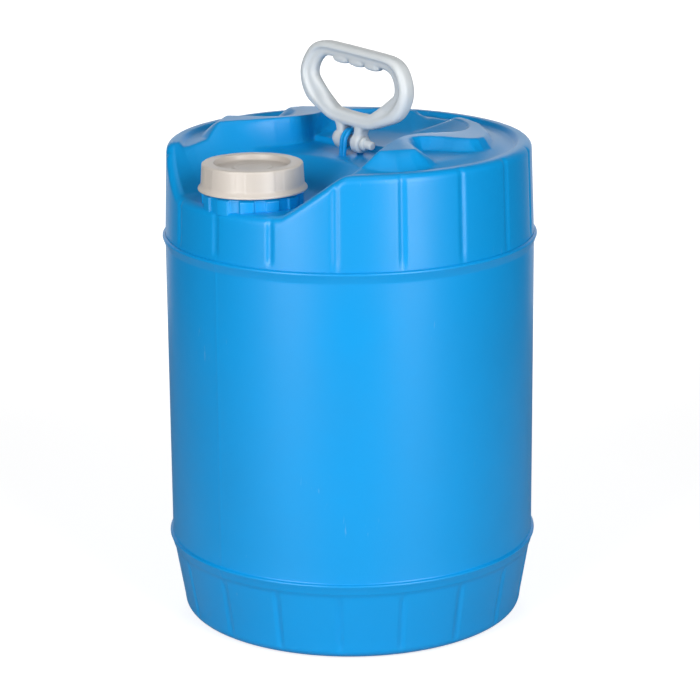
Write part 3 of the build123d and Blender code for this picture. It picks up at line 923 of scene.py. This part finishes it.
class PAIL_OT_handle(bpy.types.Operator):
    """Build the ring handle with its finger bumps, legs and bosses, and the pin through them"""

    bl_idname = "pail.handle"
    bl_label = "Handle and pin"

    def execute(self, context):
        place = handle_frame()
        ring = grid_piece("ring", ring_surface(), close_rows=True)
        parts = [ring]
        for index in range(GRIP_BUMPS):
            x = (index - (GRIP_BUMPS - 1) / 2) * GRIP_BUMP_PITCH
            levels = [
                (57.4, x, 0, 2.2, 1.6), (58.0, x, 0, 5.4, 3.2), (59.6, x, 0, 7.8, 4.4), (63, x, 0, 8.2, 4.6),
            ]
            parts.append(grid_piece("bump", box_loft(levels), pole_first=True, pole_last=True))
        for side in (-1, 1):
            levels = [
                (-1, side * 9.0, 0, 3.4, 4.5), (4, side * 9.0, 0, 3.7, 5.6), (8, side * 9.3, 0, 3.9, 5.8),
                (12, side * 10.2, 0, 5.0, 6.0), (16, side * 11.5, 0, 7.0, 6.2),
            ]
            parts.append(grid_piece("leg", box_loft(levels), pole_first=True, pole_last=True))
            rows = rounded(
                [(side * 5.1, 1), (side * 5.1, 7.9), (side * 12.9, 7.9), (side * 12.9, 1)],
                [0, 1.4, 1.8, 0],
                6,
            )
            parts.append(grid_piece("boss", rod_surface(rows), pole_first=True, pole_last=True))
        handle = join("swing_handle", parts)
        remesh = handle.modifiers.new("blend", "REMESH")
        remesh.mode = "VOXEL"
        remesh.voxel_size = VOXEL
        remesh.use_smooth_shade = True
        smooth = handle.modifiers.new("soften", "SMOOTH")
        smooth.factor = 0.5
        smooth.iterations = 5
        handle.data.transform(place)
        finish_piece(handle, "handle", ["handle"], handle_material())

        rows = rounded(
            [
                (-15.7, 0.6), (-15.7, 5.5), (-13.35, 5.5), (-13.2, PIN_R), (13.1, PIN_R), (13.3, 5.3),
                (16.3, 5.1), (16.5, 3.5), (23.0, 3.2), (23.0, 0.6),
            ],
            [0, 0.9, 0.3, 0.2, 0.2, 0.5, 0.9, 0.3, 1.8, 0],
            6,
        )
        pin = grid_piece("snap_pin", rod_surface(subdivide(rows, 1.0)), pole_first=True, pole_last=True)
        pin.data.transform(place)
        finish_piece(pin, "handle", ["handle_pin"], handle_material())
        return {"FINISHED"}


def studio_world(away):
    """White room: bright on the backdrop's side, dim on the camera's side, plain white where it is seen."""
    world = bpy.data.worlds.new("studio")
    world.use_nodes = True
    tree = world.node_tree
    link = tree.links.new
    background = tree.nodes["Background"]
    background.inputs["Color"].default_value = (1, 1, 1, 1)
    coords = tree.nodes.new("ShaderNodeTexCoord")
    facing = tree.nodes.new("ShaderNodeVectorMath")
    facing.operation = "DOT_PRODUCT"
    facing.inputs[1].default_value = away
    link(coords.outputs["Generated"], facing.inputs[0])
    fade = map_range(tree, facing.outputs["Value"], 0.78, 0.97, 0.05, 1.25)
    path = tree.nodes.new("ShaderNodeLightPath")
    seen = combine(tree, "MAXIMUM", path.outputs["Is Camera Ray"], fade)
    link(seen, background.inputs["Strength"])
    return world


def softbox(name, place, width, tall, watts):
    """Rectangular light aimed at the pail's upper half, never seen itself."""
    light = bpy.data.lights.new(name, "AREA")
    light.shape = "RECTANGLE"
    light.size = width
    light.size_y = tall
    light.energy = watts
    lamp = bpy.data.objects.new(name, light)
    lamp.location = place
    lamp.visible_camera = False
    bpy.context.scene.collection.objects.link(lamp)
    direction = Vector(LIGHT_AIM) - lamp.location
    lamp.rotation_euler = direction.to_track_quat("-Z", "Y").to_euler()


def place_camera(toward):
    """Camera on the side that toward points to, tipped down by its pitch and turned a little by its roll."""
    data = bpy.data.cameras.new("camera")
    data.lens = CAMERA_LENS
    data.sensor_width = 36
    data.clip_end = 50
    camera = bpy.data.objects.new("camera", data)
    pitch = math.radians(CAMERA_PITCH)
    roll = math.radians(CAMERA_ROLL)
    forward = -toward * math.cos(pitch) + Vector((0, 0, -math.sin(pitch)))
    level = forward.cross(Vector((0, 0, 1))).normalized()
    lifted = level.cross(forward)
    across = level * math.cos(roll) + lifted * math.sin(roll)
    up = across.cross(forward)
    turn = Matrix((across, up, -forward)).transposed().to_4x4()
    camera.matrix_world = Matrix.Translation(CAMERA_PLACE) @ turn
    bpy.context.scene.collection.objects.link(camera)
    return camera


class PAIL_OT_stage(bpy.types.Operator):
    """Build the pale floor, the soft lights and the camera"""

    bl_idname = "pail.stage"
    bl_label = "Studio and camera"

    def execute(self, context):
        scene = bpy.context.scene
        radius = settings().floor_size
        scene.view_settings.view_transform = "Standard"
        turn = np.linspace(0, TAU, 96, endpoint=False)
        rim = np.stack([radius * np.cos(turn), radius * np.sin(turn), 0 * turn], -1)
        mesh = bpy.data.meshes.new("studio_floor")
        mesh.from_pydata(rim.tolist(), [], [tuple(range(96))])
        floor = bpy.data.objects.new("studio_floor", mesh)
        scene.collection.objects.link(floor)
        mesh.materials.append(paper_material("pale_paper", (0.45, 0.45, 0.45), 0.78))

        azimuth = math.radians(CAMERA_AZIMUTH)
        toward = Vector((math.sin(azimuth), -math.cos(azimuth), 0))
        right = Vector((math.cos(azimuth), math.sin(azimuth), 0))
        scene.world = studio_world(-toward)

        power = settings().light_power
        lights = (
            ("right_softbox", toward * 1.45 + right * 1.0 + Vector((0, 0, 0.85)), 0.75, 1.8, 27),
            ("left_softbox", toward * 1.45 - right * 1.0 + Vector((0, 0, 0.85)), 0.75, 1.8, 27),
            ("top_softbox", toward * 0.1 + Vector((0, 0, 2.2)), 1.2, 1.2, 3),
            ("back_softbox", Vector((0, 0, 0.17)) - toward * 1.3, 0.3, 0.32, 6),
        )
        for name, place, width, tall, watts in lights:
            softbox(name, place, width, tall, watts * power)
        scene.camera = place_camera(toward)
        return {"FINISHED"}


class PAIL_PT_panel(bpy.types.Panel):
    """Sidebar panel that lists the pail's pieces and settings"""

    bl_label = "Closed-head pail"
    bl_space_type = "VIEW_3D"
    bl_region_type = "UI"
    bl_category = "Pail"

    def draw(self, context):
        layout = self.layout
        values = context.scene.pail_settings
        for label in values.__annotations__:
            layout.prop(values, label)
        for operator in OPERATORS:
            layout.operator(operator.bl_idname)


OPERATORS = (PAIL_OT_stage, PAIL_OT_shell, PAIL_OT_cap, PAIL_OT_handle)
CLASSES = (PAIL_PG_settings, *OPERATORS, PAIL_PT_panel)


def register():
    """Register every class and hang the settings on the scene."""
    for cls in CLASSES:
        bpy.utils.register_class(cls)
    bpy.types.Scene.pail_settings = bpy.props.PointerProperty(type=PAIL_PG_settings)


def unregister():
    """Undo register."""
    del bpy.types.Scene.pail_settings
    for cls in reversed(CLASSES):
        bpy.utils.unregister_class(cls)


def main():
    """Build everything in order."""
    register()
    bpy.ops.pail.stage()
    bpy.ops.pail.shell()
    bpy.ops.pail.cap()
    bpy.ops.pail.handle()


if __name__ == "__main__":
    main()
